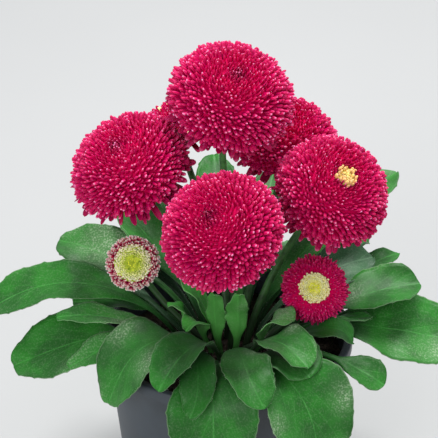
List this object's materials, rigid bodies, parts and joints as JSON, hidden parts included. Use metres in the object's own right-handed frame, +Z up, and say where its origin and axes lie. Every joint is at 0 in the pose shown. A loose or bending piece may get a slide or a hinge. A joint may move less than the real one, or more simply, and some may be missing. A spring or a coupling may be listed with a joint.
{
  "type": "potted english daisy",
  "caption": "Flowering plant with dense round crimson heads and pale-centred buds on stalks over a rosette of broad spoon-shaped leaves, in a plain round pot.",
  "frame": {"origin": "centre of the pot's flat base", "axes": "+Z up along the pot's axis, -Y towards the front from which the picture was taken, +X to the right as seen from the front"},
  "size_m": [0.1975, 0.1505, 0.1986],
  "materials": {
    "pot": "satin",
    "soil": "rough",
    "petals": "matte",
    "bud_petals": "matte",
    "pale_centre": "matte",
    "stalk": "matte",
    "leaf": "satin",
    "grey_leaf": "matte"
  },
  "bodies": {
    "root": {"pot": "pot", "soil": "soil", "bloom_top_petals": "petals", "bloom_top_stalk": "stalk", "bloom_front_petals": "petals", "bloom_front_stalk": "stalk", "bloom_left_petals": "petals", "bloom_left_stalk": "stalk", "bloom_right_petals": "petals", "bloom_right_tuft": "pale_centre", "bloom_right_stalk": "stalk", "bloom_back_right_petals": "petals", "bloom_back_right_stalk": "stalk", "bloom_back_left_petals": "petals", "bloom_back_left_stalk": "stalk", "bud_left_petals": "bud_petals", "bud_left_centre": "pale_centre", "bud_left_stalk": "stalk", "bud_right_petals": "bud_petals", "bud_right_centre": "pale_centre", "bud_right_stalk": "stalk", "leaf_front_hanging": "leaf", "leaf_front_right_hanging": "leaf", "leaf_front_shaded": "leaf", "leaf_front_folded": "leaf", "leaf_front_left_broad": "leaf", "leaf_front_centre": "leaf", "leaf_front_glossy": "leaf", "leaf_front_right_round": "leaf", "leaf_right_small": "leaf", "leaf_right_under_bud": "leaf", "leaf_right_long": "leaf", "leaf_right_curled": "leaf", "leaf_right_rising": "leaf", "leaf_right_grey": "grey_leaf", "leaf_right_pointed": "leaf", "leaf_right_behind": "leaf", "leaf_left_upper": "leaf", "leaf_left_shaded": "leaf", "leaf_left_grey": "grey_leaf", "leaf_left_long": "leaf", "leaf_left_back": "leaf", "leaf_left_back_grey": "grey_leaf", "leaf_left_behind": "leaf", "leaf_left_low": "leaf", "leaf_left_narrow": "leaf", "leaf_inner_arched": "leaf", "leaf_inner_curled": "leaf", "leaf_inner_hairy": "leaf", "leaf_inner_upright_right": "leaf", "leaf_inner_upright_left": "leaf", "leaf_inner_left": "leaf", "leaf_back_upper_right": "leaf", "leaf_back_upper": "leaf", "leaf_back_upper_left": "leaf", "leaf_back_low_right": "leaf", "leaf_back_hanging_right": "leaf", "leaf_back_low": "leaf", "leaf_back_hanging_left": "leaf"}
  },
  "joints": []
}
